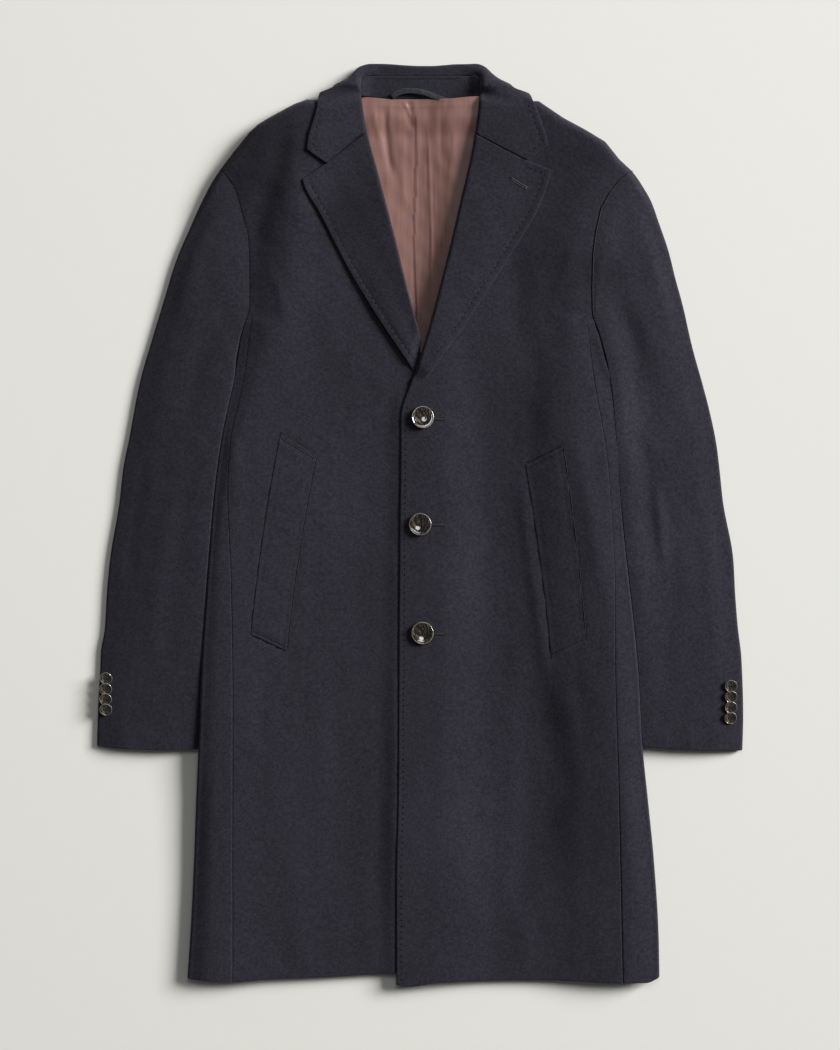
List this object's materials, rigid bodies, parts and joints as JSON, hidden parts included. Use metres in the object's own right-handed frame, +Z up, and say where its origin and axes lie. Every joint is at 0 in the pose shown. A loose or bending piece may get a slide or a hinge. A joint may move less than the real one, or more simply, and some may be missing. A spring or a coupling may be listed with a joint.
{
  "type": "wool overcoat",
  "caption": "single-breasted knee-length wool overcoat laid flat on its back, buttoned, with notched lapels, slanted welt pockets and a satin-lined neck",
  "frame": {"origin": "on the surface the coat lies on, under the middle of its outline", "axes": "+X to the wearer's left (to the right as seen from above), +Y toward the collar, +Z up from the surface"},
  "size_m": [0.7292, 1.0396, 0.0267],
  "materials": {
    "wool": "brushed navy melton, matt with a short nap",
    "lining": "rose-brown satin, soft sheen",
    "horn": "polished dark brown horn with a paler rim"
  },
  "bodies": {
    "root": {"back": "wool", "front_under": "wool", "front_upper": "wool", "side_right_hand": "wool", "side_left_hand": "wool", "top_sleeve_right_hand": "wool", "top_sleeve_left_hand": "wool", "under_sleeve_right_hand": "wool", "under_sleeve_left_hand": "wool", "lapel_right_hand": "wool", "lapel_left_hand": "wool", "collar": "wool", "collar_stand": "wool", "hanger_loop": "wool", "pocket_welt_right_hand": "wool", "pocket_welt_left_hand": "wool", "back_lining": "lining", "front_button_1": "horn", "front_button_2": "horn", "front_button_3": "horn", "cuff_button_right_hand_1": "horn", "cuff_button_right_hand_2": "horn", "cuff_button_right_hand_3": "horn", "cuff_button_right_hand_4": "horn", "cuff_button_left_hand_1": "horn", "cuff_button_left_hand_2": "horn", "cuff_button_left_hand_3": "horn", "cuff_button_left_hand_4": "horn"}
  },
  "joints": []
}
